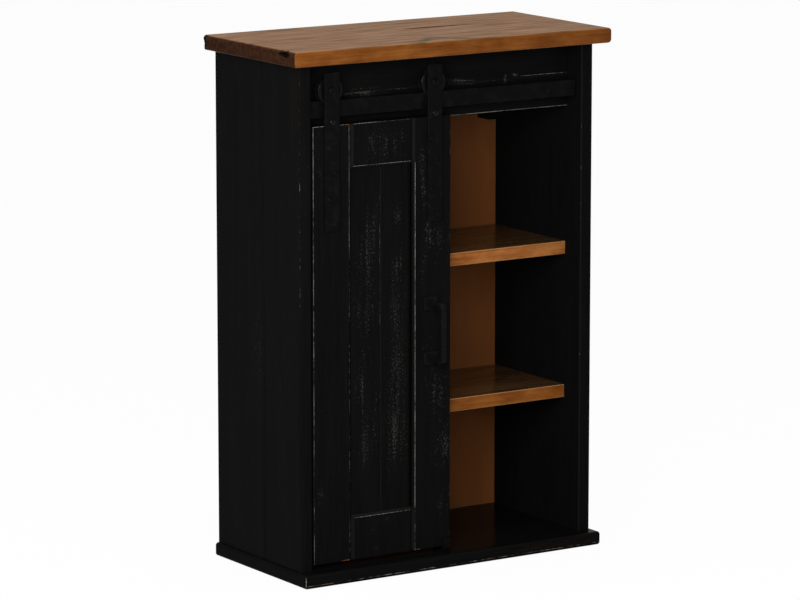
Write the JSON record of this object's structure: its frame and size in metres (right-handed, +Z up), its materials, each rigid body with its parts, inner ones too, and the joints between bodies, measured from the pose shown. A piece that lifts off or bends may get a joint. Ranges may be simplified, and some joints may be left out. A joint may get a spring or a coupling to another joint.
{
  "type": "wall cabinet",
  "caption": "Small open-shelved wall cabinet in black paint with a pine top and a panelled barn-style door that slides across the front on grooved wheels and a flat iron track.",
  "frame": {"origin": "centre of the underside of the bottom board", "axes": "+X to the right seen from the front, +Y to the back towards the wall, +Z up"},
  "size_m": [0.494, 0.236, 0.7],
  "materials": {
    "honey_pine": "stained pine under satin lacquer",
    "stained_shelf_pine": "stained pine under satin lacquer",
    "brown_back_board": "stained thin board, satin",
    "black_painted_wood": "brushed black paint with worn edges, satin",
    "black_iron": "matt black powder coat",
    "zinc_steel": "zinc plated",
    "beech_dowel": "bare beech",
    "nylon_bush": "natural nylon"
  },
  "bodies": {
    "carcass": {"top_board": "honey_pine", "bottom_board": "black_painted_wood", "left_side": "black_painted_wood", "right_side": "black_painted_wood", "back_panel": "brown_back_board", "upper_header_board": "black_painted_wood", "lower_header_board": "black_painted_wood", "upper_shelf": "stained_shelf_pine", "lower_shelf": "stained_shelf_pine", "shelf_pins": "zinc_steel", "left_hanger_block": "black_painted_wood", "right_hanger_block": "black_painted_wood", "hanger_block_screws": "zinc_steel", "track_bar": "black_iron", "track_standoffs": "black_iron", "track_bolts": "black_iron", "floor_guide": "black_iron", "floor_guide_screws": "zinc_steel", "top_dowels": "beech_dowel", "header_dowels": "beech_dowel", "bottom_screws": "zinc_steel", "back_nails": "zinc_steel"},
    "door": {"left_stile": "black_painted_wood", "right_stile": "black_painted_wood", "door_top_rail": "black_painted_wood", "door_bottom_rail": "black_painted_wood", "left_panel_board": "black_painted_wood", "right_panel_board": "black_painted_wood", "left_strap": "black_iron", "right_strap": "black_iron", "strap_screws": "black_iron", "left_axle_bolt": "black_iron", "right_axle_bolt": "black_iron", "axle_washers": "zinc_steel", "axle_nuts": "zinc_steel", "keeper_bolts": "black_iron", "keeper_nuts": "zinc_steel", "pull_handle": "black_iron", "handle_screws": "zinc_steel"},
    "left_roller": {"left_wheel": "black_iron", "left_wheel_bush": "nylon_bush"},
    "right_roller": {"right_wheel": "black_iron", "right_wheel_bush": "nylon_bush"}
  },
  "joints": [
    {"name": "door_slide", "type": "slide", "parent": "carcass", "child": "door", "axis": [1, 0, 0], "range_m": [-0.005, 0.2035]},
    {"name": "left_wheel_spin", "type": "hinge", "parent": "door", "child": "left_roller", "pos_m": [-0.177, -0.08105, 0.644], "axis": [0, 1, 0], "continuous": true},
    {"name": "right_wheel_spin", "type": "hinge", "parent": "door", "child": "right_roller", "pos_m": [-0.019, -0.08105, 0.644], "axis": [0, 1, 0], "continuous": true}
  ],
  "couplings": [
    {"joint": "left_wheel_spin", "follows": "door_slide", "rad_per_m": 78.74},
    {"joint": "right_wheel_spin", "follows": "door_slide", "rad_per_m": 78.74}
  ]
}
